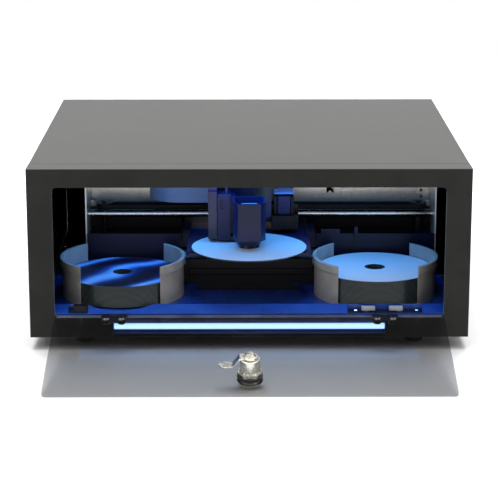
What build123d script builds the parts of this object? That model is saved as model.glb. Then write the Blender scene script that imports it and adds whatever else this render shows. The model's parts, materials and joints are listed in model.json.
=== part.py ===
from build123d import *
from math import asin, atan, cos, degrees, hypot, radians, sin
import os

# A disc label printer: a sheet-steel cabinet with a smoked drop-down door, two round disc bins, a picker
# that carries discs to a print tray and an optical drive, and an ink-jet carriage behind them. Millimetres.
# X runs across with 0 in the middle and Z up from the surface it stands on. Depths are distances behind the
# front face, and every piece is moved by front_y at the end, which centres the whole box on the origin.

# Cabinet
cabinet_width = 436.0
cabinet_height = 171.0
cabinet_depth = 400.0
foot_lift = 13.0
foot_radius = 10.0
foot_inset_x = 51.0
foot_inset_y = 36.0
sheet = 1.2
fascia_sheet = 1.5
fascia_return = 26.0
seam = 0.4
base_sheet = 1.5
fascia_edge_radius = 1.0

# Front opening and the notch of the lower band
opening_width = 385.7
lip_height = 20.5
opening_height = 132.0
opening_corner = 4.0
notch_width = 270.0
notch_height = 18.9
notch_corner = 3.0

# Door and its hinges
door_thickness = 3.0
door_length = 148.0
door_corner = 4.0
door_gap = 0.5
door_floor_gap = 0.4
door_hole_clearance = 0.1
pivot_front = 1.6
pivot_over_lip = 2.2
knuckle_radius = 1.8
hinge_pin_radius = 1.0
pin_clearance = 0.05
hinge_x = 134.0
hinge_width = 24.5
hinge_leaf = 1.2
hinge_leaf_length = 14.0
hinge_tongue = 8.0
hinge_screw_spacing = 15.4
hinge_screw_inset = 8.0
hinge_screw_radius = 2.4

# Cam lock
lock_from_edge = 31.0
barrel_radius = 9.4
barrel_length = 20.0
lock_nut_width = 24.0
lock_nut_thickness = 4.0
gasket_radius = 12.2
gasket_thickness = 3.0
cam_reach = 23.5
cam_end_radius = 5.5
cam_width = 10.0
cam_thickness = 2.0
cam_offset = 9.0

# Discs, bins and the tray
disc_radius = 60.0
disc_hole = 7.5
disc_thickness = 1.2
disc_line = 80.0
bin_x = 129.65
bin_radius = 62.5
bin_rim_radius = 64.4
bin_wall = 1.8
bin_height = 40.0
bin_rim_height = 8.0
bin_opening = 80.0
bin_floor = 1.5
bin_finger_cut = 12.0
left_discs = 18
right_discs = 22
tray_width = 128.0
tray_front = 66.0
tray_length = 134.0
tray_bottom = 79.5
tray_thickness = 3.0
tray_disc_bottom = 84.8
tray_travel = 100.0
tray_recess_radius = 46.0
tray_hub_radius = 17.0
tray_groove_gap = 0.3
rail_width = 8.0
roller_radius = 6.0
roller_half = 20.0
roller_shaft_radius = 2.0
roller_setback = 20.0

# Floor of the compartment: a sheet that the bins stand on, and a sloping ledge in front of them
floor_top = 37.0
ledge_top = floor_top
ridge_top = 43.0
ridge_front = 15.6
ridge_back = 17.0
notch_line = 68.8
notch_radius = 62.8
floor_sheet = 1.5
floor_half = 205.0
floor_front = 2.0
floor_step_y = 16.0
seat_depth = 0.6
seat_clearance = 0.2
scoop_radius = 62.0
scoop_depth = 6.0

# Control strip on the right of the ledge
strip_x0 = 98.0
strip_x1 = 172.0
strip_y0 = 4.0
strip_y1 = 15.5
strip_height = 0.6
button_width = 13.5
button_depth = 6.6
button_rise = 3.6
button_travel = 0.8
button_gap = 0.2
stem_half = 2.6
stem_clearance = 0.3
button_places = ((118.5, 116.5), (146.0, 149.6))
indicator_places = (106.0, 166.7)
indicator_radius = 1.45

# Lights: a tube in the lower band and a hidden one behind the upper band
tube_radius = 3.05
tube_y = 5.2
tube_z = 23.2
lamp_half = 182.0
lamp_y = 86.0
lamp_z = 174.0
lamp_radius = 5.0

# Printer frame
frame_left = -172.0
frame_right = 198.0
frame_front = 150.0
frame_rear = 330.0
frame_top = 150.0
frame_sheet = 1.5
deck_top = 76.0
panel_top = 82.6
back_plate_y = 225.0
rod_y = 175.0
rod_z = 98.8
rod_radius = 4.0
pulley_y = 192.0
pulley_radius = 7.0
belt_thickness = 1.2
belt_width = 6.0
belt_z = 102.6
belt_gap = 0.3
motor_radius = 17.5
motor_height = 34.0
motor_inset = 16.0
idler_inset = 14.0
pulley_shaft_radius = 2.5
plate_bottom = 97.0
shroud_y = 203.0
shroud_thickness = 2.0
shroud_top = 99.5
cable_bottom = 113.8
cable_width = 17.0
cable_thickness = 0.6
cable_y = 160.0
cable_run = 32.0

# Picker and print carriage
carriage_travel = 129.65
picker_left = -42.0
picker_right = 24.0
carriage_right = 53.0
lift_rod_radius = 2.0
lift_rod_x = -23.0
lift_travel = 12.0
lift_rod_places = (102.0, 118.0)
arm_top = 152.0
head_x = 0.3
head_half = 16.6
head_front = 61.0
head_back = 101.0
head_corner = 5.0
head_bottom = 95.5
head_top = 134.5
nose_radius = 12.5
nose_bottom = 88.4
carriage_front = 145.0
carriage_bottom = 88.2
carriage_block_top = 102.5
cartridge_top = 121.8
latch_y = 180.5
latch_z = 124.6
latch_pin_radius = 1.0

# Optical drive
drive_width = 146.0
drive_height = 41.3
drive_depth = 170.0
drive_bezel_y = 113.0
drive_bezel_thickness = 5.0
drive_bottom = 22.7
drive_tray_width = 126.0
drive_tray_z = 47.5
drive_tray_height = 5.6
drive_tray_length = 150.0
drive_travel = 125.0
tray_slot_gap = 0.4
eject_width = 12.6
eject_height = 4.6
eject_x = 50.0
eject_z = 37.0

# Rear: fan, power inlet, rocker switch, data socket, power supply and main board
rear_sheet = 1.5
rear_margin = 1.5
fan_x = 120.0
fan_z = 100.0
fan_size = 60.0
fan_bore = 28.5
fan_depth = 15.0
fan_axle_radius = 2.0
inlet_x = -150.0
inlet_z = 46.0
inlet_w = 27.5
inlet_h = 20.0
rocker_x = -112.0
rocker_z = 46.0
rocker_w = 19.6
rocker_h = 12.8
rocker_tilt = 8.0
socket_x = 30.0
socket_w = 12.4
socket_h = 11.4
supply_box = (-190.0, -60.0, 338.0, 376.0)
supply_height = 50.0
board_box = (-35.0, 190.0, 336.0, 394.0)
board_standoff = 8.0
board_thickness = 1.6
screw_depths = (70.0, 200.0, 330.0)
screw_rise = 6.0
screw_hole = 1.6

# Derived
body_bottom = foot_lift
body_top = foot_lift + cabinet_height
half_width = cabinet_width / 2
base_top = body_bottom + fascia_sheet + base_sheet
lip_top = body_bottom + lip_height
opening_top = lip_top + opening_height
pivot_y = -pivot_front
pivot_z = lip_top + pivot_over_lip
door_inner = -door_gap
door_outer = door_inner - door_thickness
door_outer_offset = pivot_y - door_outer
door_slope = degrees(
    asin((pivot_z - door_floor_gap) / hypot(door_length, door_outer_offset))
    - atan(door_outer_offset / door_length)
)
door_open_angle = 90 + door_slope
door_inner_offset = door_inner - pivot_y
door_reach = door_length * cos(radians(door_slope)) - pivot_y + door_inner_offset * sin(radians(door_slope))
rear_reach = cabinet_depth
front_y = (door_reach - rear_reach) / 2
lock_z = pivot_z + door_length - lock_from_edge
bin_top = floor_top + bin_height
screw_z = base_top + screw_rise
panel_y1 = cabinet_depth - rear_margin
panel_y0 = panel_y1 - rear_sheet
rocker_pivot_y = panel_y1 - 3.0
board_z = base_top + board_standoff
board_top = board_z + board_thickness
socket_z = board_top + (socket_h - 0.4) / 2
roller_y = frame_front + roller_setback
roller_z = tray_bottom - roller_radius - 0.3
motor_x = frame_left + motor_inset
idler_x = frame_right - idler_inset
drive_top = drive_bottom + drive_height
bezel_back = drive_bezel_y + drive_bezel_thickness
standing = (Align.CENTER, Align.CENTER, Align.MIN)
os.makedirs("parts", exist_ok=True)


def block(x0, x1, y0, y1, z0, z1):
    """A box between two corners."""
    return Pos((x0 + x1) / 2, (y0 + y1) / 2, (z0 + z1) / 2) * Box(x1 - x0, y1 - y0, z1 - z0)


def rod_x(x0, x1, y, z, radius):
    """A cylinder along X."""
    return Pos((x0 + x1) / 2, y, z) * Rot(0, 90, 0) * Cylinder(radius, x1 - x0)


def rod_y_axis(x, y0, y1, z, radius):
    """A cylinder along Y."""
    return Pos(x, (y0 + y1) / 2, z) * Rot(90, 0, 0) * Cylinder(radius, y1 - y0)


def rod_up(x, y, z0, z1, radius):
    """A cylinder along Z."""
    return Pos(x, y, (z0 + z1) / 2) * Cylinder(radius, z1 - z0)


def rounded_plate(width, height, radius, x, z, y0, y1):
    """An upright plate with rounded corners, between two depths."""
    face = RectangleRounded(width, height, radius)
    return Pos(x, y1, z) * Rot(90, 0, 0) * extrude(face, y1 - y0)


def open_door(shape):
    """Turns a piece of the closed door about the hinge pins to the open rest pose."""
    return shape.rotate(Axis((0, pivot_y, pivot_z), (1, 0, 0)), door_open_angle)


def save(name, *shapes):
    """Writes one node: one solid, or a group of separate solids."""
    moved = [Pos(0, front_y, 0) * s for s in shapes]
    solids = [s for m in moved for s in m.solids()]
    export_step(Compound(children=solids) if len(solids) > 1 else solids[0], f"parts/{name}.step")


def front_fascia():
    outer = block(-half_width, half_width, 0, fascia_return, body_bottom, body_top)
    outer = fillet(outer.edges().group_by(Axis.Y)[0], fascia_edge_radius)
    inner = block(
        -half_width + fascia_sheet, half_width - fascia_sheet, fascia_sheet, fascia_return + 1,
        body_bottom + fascia_sheet, body_top - fascia_sheet,
    )
    opening = rounded_plate(
        opening_width, opening_height, opening_corner, 0, (lip_top + opening_top) / 2, -1, fascia_sheet + 1
    )
    notch_mid = body_bottom + fascia_sheet + notch_height / 2 - notch_corner
    notch = rounded_plate(
        notch_width, notch_height + 2 * notch_corner, notch_corner, 0, notch_mid, -1, fascia_sheet
    )
    return outer - inner - opening - notch


def screw_places():
    return [(side, y) for side in (-1, 1) for y in screw_depths]


def top_cover():
    y0 = fascia_return + seam
    outer = block(-half_width, half_width, y0, cabinet_depth, body_bottom, body_top)
    outer = fillet(outer.edges().filter_by(Axis.Y).group_by(Axis.Z)[-1], fascia_edge_radius)
    inner = block(
        -half_width + sheet, half_width - sheet, y0 - 1, cabinet_depth + 1, body_bottom - 1, body_top - sheet
    )
    cover = outer - inner
    for side, y in screw_places():
        cover -= rod_x(side * half_width - 3, side * half_width + 3, y, screw_z, screw_hole)
    return cover


def base_chassis():
    wall = half_width - fascia_sheet
    y0 = fascia_sheet
    y1 = panel_y0
    plate = block(-wall, wall, y0, y1, base_top - base_sheet, base_top)
    for side in (-1, 1):
        x0, x1 = sorted((side * wall, side * (wall - base_sheet)))
        plate += block(x0, x1, y0, y1, base_top, base_top + 12)
    for side, y in screw_places():
        plate -= rod_x(side * wall - 3, side * wall + 3, y, screw_z, screw_hole)
    for i in range(9):
        x = -190 + 9 * i
        plate -= block(x, x + 4, 240, 300, base_top - 3, base_top + 1)
    return plate


def cover_screws():
    screws = []
    for side, y in screw_places():
        face = side * half_width
        head = rod_x(*sorted((face, face + side * 1.8)), y, screw_z, 3.0)
        shank = rod_x(*sorted((face - side * 6, face)), y, screw_z, 1.5)
        screws.append(head + shank)
    return screws


def feet():
    made = []
    for side in (-1, 1):
        for y in (foot_inset_y, cabinet_depth - foot_inset_y):
            foot = Pos(side * (half_width - foot_inset_x), y, 0) * Cone(
                foot_radius - 1.2, foot_radius, foot_lift + fascia_sheet, align=standing
            )
            made.append(foot)
    return made


def rear_panel():
    edge = half_width - fascia_sheet
    panel = block(-edge, edge, panel_y0, panel_y1, base_top - base_sheet, body_top - fascia_sheet)
    panel -= rod_y_axis(fan_x, panel_y0 - 1, panel_y1 + 1, fan_z, fan_bore)
    panel -= rounded_plate(inlet_w, inlet_h, 2, inlet_x, inlet_z, panel_y0 - 1, panel_y1 + 1)
    panel -= rounded_plate(rocker_w, rocker_h, 1, rocker_x, rocker_z, panel_y0 - 1, panel_y1 + 1)
    panel -= rounded_plate(socket_w, socket_h, 0.5, socket_x, socket_z, panel_y0 - 1, panel_y1 + 1)
    for i in range(12):
        x = -60 + 9 * i
        panel -= rounded_plate(4, 30, 1.9, x, 130, panel_y0 - 1, panel_y1 + 1)
    return panel


def fan_housing():
    y1 = panel_y0
    body = rounded_plate(fan_size, fan_size, 4, fan_x, fan_z, y1 - fan_depth, y1)
    body -= rod_y_axis(fan_x, y1 - fan_depth - 1, y1 + 1, fan_z, fan_bore)
    hub = rod_y_axis(fan_x, y1 - 3, y1, fan_z, 12)
    for turn in (45, 135):
        spoke = block(fan_x - fan_bore - 1, fan_x + fan_bore + 1, y1 - 3, y1, fan_z - 1.5, fan_z + 1.5)
        hub += spoke.rotate(Axis((fan_x, 0, fan_z), (0, 1, 0)), turn)
    axle = rod_y_axis(fan_x, y1 - 11, y1 - 3, fan_z, fan_axle_radius)
    return body + hub + axle


def fan_rotor():
    y1 = panel_y0
    hub = rod_y_axis(fan_x, y1 - 13.5, y1 - 3.8, fan_z, 11.5)
    blades = 7
    for i in range(blades):
        blade = block(10.5, fan_bore - 1.5, y1 - 9.2, y1 - 8.0, -6, 6)
        blade = blade.rotate(Axis((0, y1 - 8.6, 0), (1, 0, 0)), 32)
        blade = Pos(fan_x, 0, fan_z) * blade.rotate(Axis((0, 0, 0), (0, 1, 0)), i * 360 / blades)
        hub += blade
    return hub - rod_y_axis(fan_x, y1 - 11.4, y1 - 3, fan_z, fan_axle_radius + pin_clearance)


def fan_guard():
    y0 = panel_y1
    y1 = cabinet_depth
    outer = fan_bore + 1.5
    guard = rod_y_axis(fan_x, y0, y1, fan_z, outer) - rod_y_axis(fan_x, y0 - 1, y1 + 1, fan_z, outer - 2)
    for radius in (9, 15.5, 22):
        ring = rod_y_axis(fan_x, y0, y1, fan_z, radius)
        guard += ring - rod_y_axis(fan_x, y0 - 1, y1 + 1, fan_z, radius - 1.5)
    for turn in (0, 90):
        bar = block(fan_x - outer + 1, fan_x + outer - 1, y0, y1, fan_z - 1, fan_z + 1)
        guard += bar.rotate(Axis((fan_x, 0, fan_z), (0, 1, 0)), turn)
    return guard


def power_inlet():
    flange = rounded_plate(inlet_w + 5, inlet_h + 5, 2, inlet_x, inlet_z, panel_y1, panel_y1 + 1.5)
    body = rounded_plate(inlet_w - 0.4, inlet_h - 0.4, 2, inlet_x, inlet_z, panel_y1 - 18, panel_y1)
    body = flange + body
    body -= rounded_plate(inlet_w - 4, inlet_h - 4, 2, inlet_x, inlet_z, panel_y1 - 15, panel_y1 + 2)
    for dx, dz in ((-7, -1), (0, 2), (7, -1)):
        x, z = inlet_x + dx, inlet_z + dz
        body += block(x - 1, x + 1, panel_y1 - 15.5, panel_y1 - 3, z - 2, z + 2)
    return body


def rocker_housing():
    frame = rounded_plate(rocker_w + 2.4, rocker_h + 2.4, 1, rocker_x, rocker_z, panel_y1, panel_y1 + 1.5)
    frame += rounded_plate(rocker_w - 0.4, rocker_h - 0.4, 0.6, rocker_x, rocker_z, panel_y1 - 16, panel_y1)
    y0 = panel_y1 - 10
    return frame - rounded_plate(rocker_w - 3.6, rocker_h - 3.2, 0.5, rocker_x, rocker_z, y0, panel_y1 + 2)


def rocker_button():
    half = (rocker_w - 3.6) / 2 - 0.9
    tall = (rocker_h - 3.2) / 2 - 0.3
    side = Plane((rocker_x, rocker_pivot_y, rocker_z - tall), x_dir=(1, 0, 0), z_dir=(0, 0, 1))
    outline = Polyline((-half, -3), (half, -3), (half, 1.8), (0, 3.6), (-half, 1.8), close=True)
    button = extrude(side * make_face(outline), 2 * tall)
    button += rod_up(rocker_x, rocker_pivot_y, rocker_z - tall - 0.2, rocker_z + tall + 0.2, 1.2)
    return button.rotate(Axis((rocker_x, rocker_pivot_y, rocker_z), (0, 0, 1)), rocker_tilt)


def data_socket():
    x, z, y1 = socket_x, socket_z, panel_y1
    body = rounded_plate(socket_w - 0.4, socket_h - 0.4, 0.4, x, z, y1 - 15, y1 + 0.8)
    body -= rounded_plate(socket_w - 3.6, socket_h - 3.6, 0.4, x, z, y1 - 11, y1 + 2)
    return body + block(x - 2.6, x + 2.6, y1 - 11, y1 - 1, z - 1.4, z + 1.4)


def power_supply():
    x0, x1, y0, y1 = supply_box
    box = block(x0, x1, y0, y1, base_top, base_top + supply_height)
    box -= block(x0 + 1.2, x1 - 1.2, y0 + 1.2, y1 - 1.2, base_top + 1.2, base_top + supply_height - 1.2)
    for i in range(14):
        x = x0 + 9 + 8.4 * i
        box -= block(x, x + 3.4, y0 + 6, y1 - 6, base_top + supply_height - 2, base_top + supply_height + 1)
    return box


def main_board():
    x0, x1, y0, y1 = board_box
    board = block(x0, x1, y0, y1, board_z, board_top)
    for x in (x0 + 5, x1 - 5):
        for y in (y0 + 5, y1 - 5):
            board += rod_up(x, y, base_top, board_z, 3)
    chips = ((0, 358, 24, 24, 2.2), (50, 356, 14, 20, 2), (80, 356, 14, 20, 2), (150, 352, 30, 8, 9))
    for x, y, w, d, h in chips:
        board += block(x - w / 2, x + w / 2, y - d / 2, y + d / 2, board_top, board_top + h)
    for x in (105, 115, 125):
        board += rod_up(x, 352, board_top, board_top + 11.4, 4)
    return board


def sloping_ledge():
    """A wedge in front of the bins, cut for the controls, the door sensor and a hand at the left bin."""
    front = floor_front
    side = [(front, floor_top), (front, floor_top + 0.4), (ridge_front, ridge_top), (ridge_back, ridge_top)]
    side.append((ridge_back, floor_top))
    start = Plane((-floor_half, 0, 0), x_dir=(0, 1, 0), z_dir=(1, 0, 0))
    ledge = extrude(start * make_face(Polyline(*side, close=True)), 2 * floor_half)
    for x0, x1 in ((strip_x0, strip_x1), (-180.0, -161.0)):
        ledge -= block(x0 - 0.3, x1 + 0.3, front - 1, ridge_front, floor_top - 1, ridge_top + 1)
    return ledge - rod_up(-bin_x, notch_line, floor_top - 1, ridge_top + 1, notch_radius)


def inner_floor():
    low = floor_top - floor_sheet
    rear = frame_front - 1.5
    top = block(-floor_half, floor_half, floor_front, rear, low, floor_top) + sloping_ledge()
    for side in (-1, 1):
        x0, x1 = sorted((side * floor_half, side * (floor_half - floor_sheet)))
        top += block(x0, x1, floor_front + 30, rear, base_top, low)
    top += rod_up(0, disc_line, low - scoop_depth, low, scoop_radius + floor_sheet)
    top -= rod_up(0, disc_line, low - scoop_depth + floor_sheet, floor_top + 1, scoop_radius)
    half = drive_width / 2 + 2
    top -= block(-half, half, drive_bezel_y - 2, frame_front, low - scoop_depth - 1, floor_top + 1)
    seat = bin_radius + seat_clearance
    for side in (-1, 1):
        top -= rod_up(side * bin_x, disc_line, floor_top - seat_depth, floor_top + 1, seat)
    for _, stem in button_places:
        hole = stem_half + stem_clearance + 0.3
        top -= block(stem - hole, stem + hole, strip_y0 + 3, strip_y1 - 3, low - 1, ledge_top + 1)
    return top


def control_strip():
    strip = block(strip_x0, strip_x1, strip_y0, strip_y1, ledge_top, ledge_top + strip_height)
    mid = (strip_y0 + strip_y1) / 2
    hole = stem_half + stem_clearance
    for _, stem in button_places:
        strip -= block(stem - hole, stem + hole, mid - 2.3, mid + 2.3, ledge_top - 1, ledge_top + 3)
    for x in indicator_places:
        strip -= rod_up(x, mid, ledge_top - 1, ledge_top + 3, indicator_radius + pin_clearance)
    return strip


def function_button(x, stem):
    """The stem passes beside the right hinge's bracket, so it isn't under the middle of its cap."""
    mid = (strip_y0 + strip_y1) / 2
    z0 = ledge_top + strip_height + button_travel + button_gap
    half_w = button_width / 2
    half_d = button_depth / 2
    cap = block(x - half_w, x + half_w, mid - half_d, mid + half_d, z0, z0 + button_rise)
    cap = fillet(cap.edges().group_by(Axis.Z)[-1], 0.6)
    return cap + block(stem - stem_half, stem + stem_half, mid - 2.0, mid + 2.0, ledge_top - 2.4, z0)


def indicator_lenses():
    mid = (strip_y0 + strip_y1) / 2
    top = ledge_top + strip_height + 0.6
    return [rod_up(x, mid, ledge_top, top, indicator_radius) for x in indicator_places]


def button_board():
    low = ledge_top - floor_sheet
    top = low - 2.5
    board = block(strip_x0, strip_x1, strip_y0, strip_y1 + 2, top - 1.2, top)
    for _, stem in button_places:
        board += block(stem - 2.5, stem + 2.5, 7.5, 12, top, ledge_top - 2.5 - button_travel)
    for x in (strip_x0 + 3, strip_x1 - 3):
        board += rod_up(x, 12, top, low, 2.5)
    return board


def door_sensor():
    body = block(-175, -161, 5, 13, ledge_top, ledge_top + 7)
    body = fillet(body.edges().filter_by(Axis.Z), 1)
    return body + block(-180, -175, 6, 12, ledge_top, ledge_top + 2)


def light_channel():
    half = notch_width / 2 + 1.5
    z0 = body_bottom + fascia_sheet
    z1 = z0 + notch_height - 0.1
    roof = z1 - 2.2
    body = block(-half, half, fascia_sheet, 14, base_top, roof)
    body += block(-half, half, fascia_sheet, fascia_sheet + 1.5, base_top, z1)
    body -= block(-half + 1.5, half - 1.5, fascia_sheet - 1, 12, base_top + 1.2, roof - 1.5)
    for x in (-90, 0, 90):
        body += block(x - 2, x + 2, tube_y + tube_radius + 0.1, 12, tube_z - 2, tube_z + 2)
    return body


def light_tube():
    half = notch_width / 2 - 0.2
    return rod_x(-half, half, tube_y, tube_z, tube_radius)


def upper_light():
    return rod_x(-lamp_half, lamp_half, lamp_y, lamp_z, lamp_radius)


def upper_light_holder():
    body = block(-lamp_half - 3, lamp_half + 3, lamp_y - 8, lamp_y + 8, lamp_z, body_top - sheet)
    body -= rod_x(-lamp_half - 4, lamp_half + 4, lamp_y, lamp_z, lamp_radius + 0.2)
    for side in (-1, 1):
        x0, x1 = sorted((side * (lamp_half + 0.2), side * (lamp_half + 3)))
        body += block(x0, x1, lamp_y - 8, lamp_y + 8, lamp_z - 7, lamp_z + 6)
    return body


# Door, drawn closed and turned open
def hinge_places():
    return (-hinge_x, hinge_x)


def door_panel():
    mid = pivot_z + door_length / 2
    panel = rounded_plate(opening_width, door_length, door_corner, 0, mid, door_outer, door_inner)
    for x in hinge_places():
        panel -= block(
            x - hinge_width / 2 - 0.5, x + hinge_width / 2 + 0.5, door_outer - 1, door_inner + 1,
            pivot_z - 1, pivot_z + knuckle_radius + 0.5,
        )
        for dx in (-hinge_screw_spacing / 2, hinge_screw_spacing / 2):
            panel -= rod_y_axis(
                x + dx, door_outer - 1, door_inner + 1, pivot_z + hinge_screw_inset,
                hinge_screw_radius + door_hole_clearance,
            )
    panel -= rod_y_axis(0, door_outer - 1, door_inner + 1, lock_z, barrel_radius + door_hole_clearance)
    return open_door(panel)


def hinge_leaf_piece(x):
    half = hinge_width / 2
    tongue = hinge_tongue / 2
    inner = door_inner + hinge_leaf
    leaf = block(x - half, x + half, door_inner, inner, pivot_z, pivot_z + hinge_leaf_length)
    notch = tongue + 0.3
    notch_top = pivot_z + knuckle_radius + 0.6
    leaf -= block(x - notch, x + notch, door_inner - 1, inner + 1, pivot_z - 1, notch_top)
    for side in (-1, 1):
        x0, x1 = sorted((x + side * (tongue + 0.3), x + side * half))
        leaf += rod_x(x0, x1, pivot_y, pivot_z, knuckle_radius)
    leaf -= rod_x(x - half - 1, x + half + 1, pivot_y, pivot_z, hinge_pin_radius + pin_clearance)
    for dx in (-hinge_screw_spacing / 2, hinge_screw_spacing / 2):
        hole = hinge_screw_radius + door_hole_clearance
        leaf -= rod_y_axis(x + dx, door_inner - 1, inner + 1, pivot_z + hinge_screw_inset, hole)
    return open_door(leaf)


def hinge_screw(x):
    inner = door_inner + hinge_leaf
    z = pivot_z + hinge_screw_inset
    shank = rod_y_axis(x, door_outer, inner, z, hinge_screw_radius)
    head = Pos(x, inner, z) * Rot(-90, 0, 0) * Cone(4.4, 3.2, 1.5, align=standing)
    nut = rod_y_axis(x, door_outer - 1.2, door_outer, z, 4.0)
    slot = block(x - 2.6, x + 2.6, inner + 0.8, inner + 2, z - 0.4, z + 0.4)
    return open_door(shank + head + nut - slot)


def hinge_bracket(x):
    low = ledge_top - floor_sheet
    half = hinge_width / 2
    tongue = hinge_tongue / 2
    plate = block(x - half, x + half, fascia_sheet + 0.1, floor_step_y + floor_sheet, low - hinge_leaf, low)
    plate += block(x - tongue, x + tongue, pivot_y, 2, low - hinge_leaf, low)
    plate += rod_x(x - tongue, x + tongue, pivot_y, pivot_z, knuckle_radius)
    return plate


def hinge_pin(x):
    half = hinge_width / 2
    return rod_x(x - half, x + half, pivot_y, pivot_z, hinge_pin_radius)


def bored_bracket(x):
    """The pin is pressed in the bracket's knuckle, so it fills the bore exactly."""
    return hinge_bracket(x) - rod_x(x - hinge_width, x + hinge_width, pivot_y, pivot_z, hinge_pin_radius)


def lock_barrel():
    top = door_inner + barrel_length
    body = rod_y_axis(0, door_outer, top, lock_z, barrel_radius)
    head = Pos(0, door_outer, lock_z) * Rot(90, 0, 0) * Cone(
        12.5, 11, 4.0, align=standing
    )
    keyway = block(-0.8, 0.8, door_outer - 5, door_outer - 1.5, lock_z - 4, lock_z + 4)
    return open_door(body + head - keyway)


def lock_gasket():
    ring = rod_y_axis(0, door_inner, door_inner + gasket_thickness, lock_z, gasket_radius)
    bore = barrel_radius + door_hole_clearance
    return open_door(ring - rod_y_axis(0, door_inner - 1, door_inner + 9, lock_z, bore))


def lock_nut():
    y0 = door_inner + gasket_thickness
    face = RegularPolygon(lock_nut_width / 2, 6, rotation=0)
    nut = Pos(0, y0 + lock_nut_thickness, lock_z) * Rot(90, 0, 0) * extrude(face, lock_nut_thickness)
    return open_door(nut - rod_y_axis(0, y0 - 1, y0 + 9, lock_z, barrel_radius + 0.05))


def lock_cam():
    """The cam points to the left when unlocked; its end steps back towards the door."""
    y0 = door_inner + barrel_length + 0.3
    t = cam_thickness
    a, b = 10.6, 17.2
    near = [(0, y0), (-a, y0), (-b, y0 - cam_offset), (-cam_reach, y0 - cam_offset)]
    low = y0 - cam_offset + t
    far = [(-cam_reach, low), (-b + 0.9, low), (-a + 0.9, y0 + t), (0, y0 + t)]
    section = Plane((0, 0, lock_z - cam_width / 2), x_dir=(1, 0, 0), z_dir=(0, 0, 1))
    arm = extrude(section * make_face(Polyline(*near, *far, close=True)), cam_width)
    arm += rod_y_axis(0, y0, y0 + t, lock_z, cam_width / 2 + 2)
    arm += rod_y_axis(-cam_reach, y0 - cam_offset, y0 - cam_offset + t, lock_z, cam_end_radius)
    return open_door(arm - rod_y_axis(0, y0 - 2, y0 + 6, lock_z, 2.1))


def cam_screw():
    y0 = door_inner + barrel_length + 0.3 + cam_thickness
    head = Pos(0, y0, lock_z) * Rot(-90, 0, 0) * Cone(5.2, 3.4, 3.2, align=standing)
    shank = rod_y_axis(0, y0 - cam_thickness, y0, lock_z, 2.05)
    slot = block(-3.4, 3.4, y0 + 2.0, y0 + 4, lock_z - 0.5, lock_z + 0.5)
    cross = block(-0.5, 0.5, y0 + 2.0, y0 + 4, lock_z - 3.4, lock_z + 3.4)
    return open_door(head + shank - slot - cross)


# Bins and discs
def disc_bin(x):
    z0 = floor_top - seat_depth
    wall = rod_up(x, disc_line, z0, bin_top, bin_radius)
    wall += rod_up(x, disc_line, bin_top - bin_rim_height, bin_top, bin_rim_radius)
    wall -= rod_up(x, disc_line, z0 + bin_floor, bin_top + 1, bin_radius - bin_wall)
    half = bin_opening / 2
    reach = bin_rim_radius + 1
    above = z0 + bin_floor
    slot = block(x - half, x + half, disc_line - reach, disc_line + reach, above, bin_top + 1)
    front = disc_line - bin_radius + bin_finger_cut
    return wall - slot - block(x - half, x + half, disc_line - reach, front, z0 - 1, above + 1)


def disc(x, z):
    body = rod_up(x, disc_line, z, z + disc_thickness, disc_radius)
    return body - rod_up(x, disc_line, z - 1, z + 3, disc_hole)


def disc_stack(x, count):
    """Discs lie on each other; the fine groove between two edges is their rounded rims."""
    z0 = floor_top - seat_depth + bin_floor
    height = count * disc_thickness
    stack = rod_up(x, disc_line, z0, z0 + height, disc_radius)
    for i in range(1, count):
        z = z0 + i * disc_thickness
        ring = rod_up(x, disc_line, z - 0.15, z + 0.15, disc_radius + 1)
        stack -= ring - rod_up(x, disc_line, z - 0.2, z + 0.2, disc_radius - 0.5)
    return stack - rod_up(x, disc_line, z0 - 1, z0 + height + 1, disc_hole)


def print_tray():
    half = tray_width / 2
    top = tray_bottom + tray_thickness
    tray = block(-half, half, tray_front, tray_front + tray_length, tray_bottom, top)
    tray = fillet(tray.edges().filter_by(Axis.Z), 4)
    tray -= rod_up(0, disc_line, top - 1, top + 1, tray_recess_radius)
    hub = rod_up(0, disc_line, top - 1.5, tray_disc_bottom, tray_hub_radius)
    hub += rod_up(0, disc_line, tray_disc_bottom - 1, tray_disc_bottom + 0.9, disc_hole - 0.2)
    return tray + hub - rod_up(0, disc_line, tray_bottom - 1, tray_disc_bottom + 3, 6.0)


def tray_rail(side):
    half = tray_width / 2
    gap = tray_groove_gap
    front = frame_front - 16
    top = tray_bottom + tray_thickness + 3.4
    x0, x1 = sorted((side * (half - 2), side * (half - 2 + rail_width)))
    rail = block(x0, x1, front, frame_rear - 25, deck_top, top)
    g0, g1 = sorted((side * (half - 3), side * (half + gap)))
    groove = block(g0, g1, front - 14, frame_rear, tray_bottom - gap, tray_bottom + tray_thickness + gap)
    screw = rod_y_axis(side * (half + 3), front - 2, front, top - 3.6, 2.8)
    slot = block(side * (half + 3) - 2, side * (half + 3) + 2, front - 3, front - 1.2, top - 4, top - 3.2)
    return rail - groove + (screw - slot)


def tray_roller():
    drum = rod_x(-roller_half, roller_half, roller_y, roller_z, roller_radius)
    bore = roller_shaft_radius + pin_clearance
    return drum - rod_x(-roller_half - 1, roller_half + 1, roller_y, roller_z, bore)


def tray_roller_shaft():
    shaft = rod_x(-roller_half - 4, roller_half + 4, roller_y, roller_z, roller_shaft_radius)
    low, high = roller_z - 5, deck_top - frame_sheet
    for side in (-1, 1):
        x0, x1 = sorted((side * (roller_half + 1), side * (roller_half + 4)))
        shaft += block(x0, x1, roller_y - 10, roller_y + 10, low, high)
    return shaft


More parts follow.
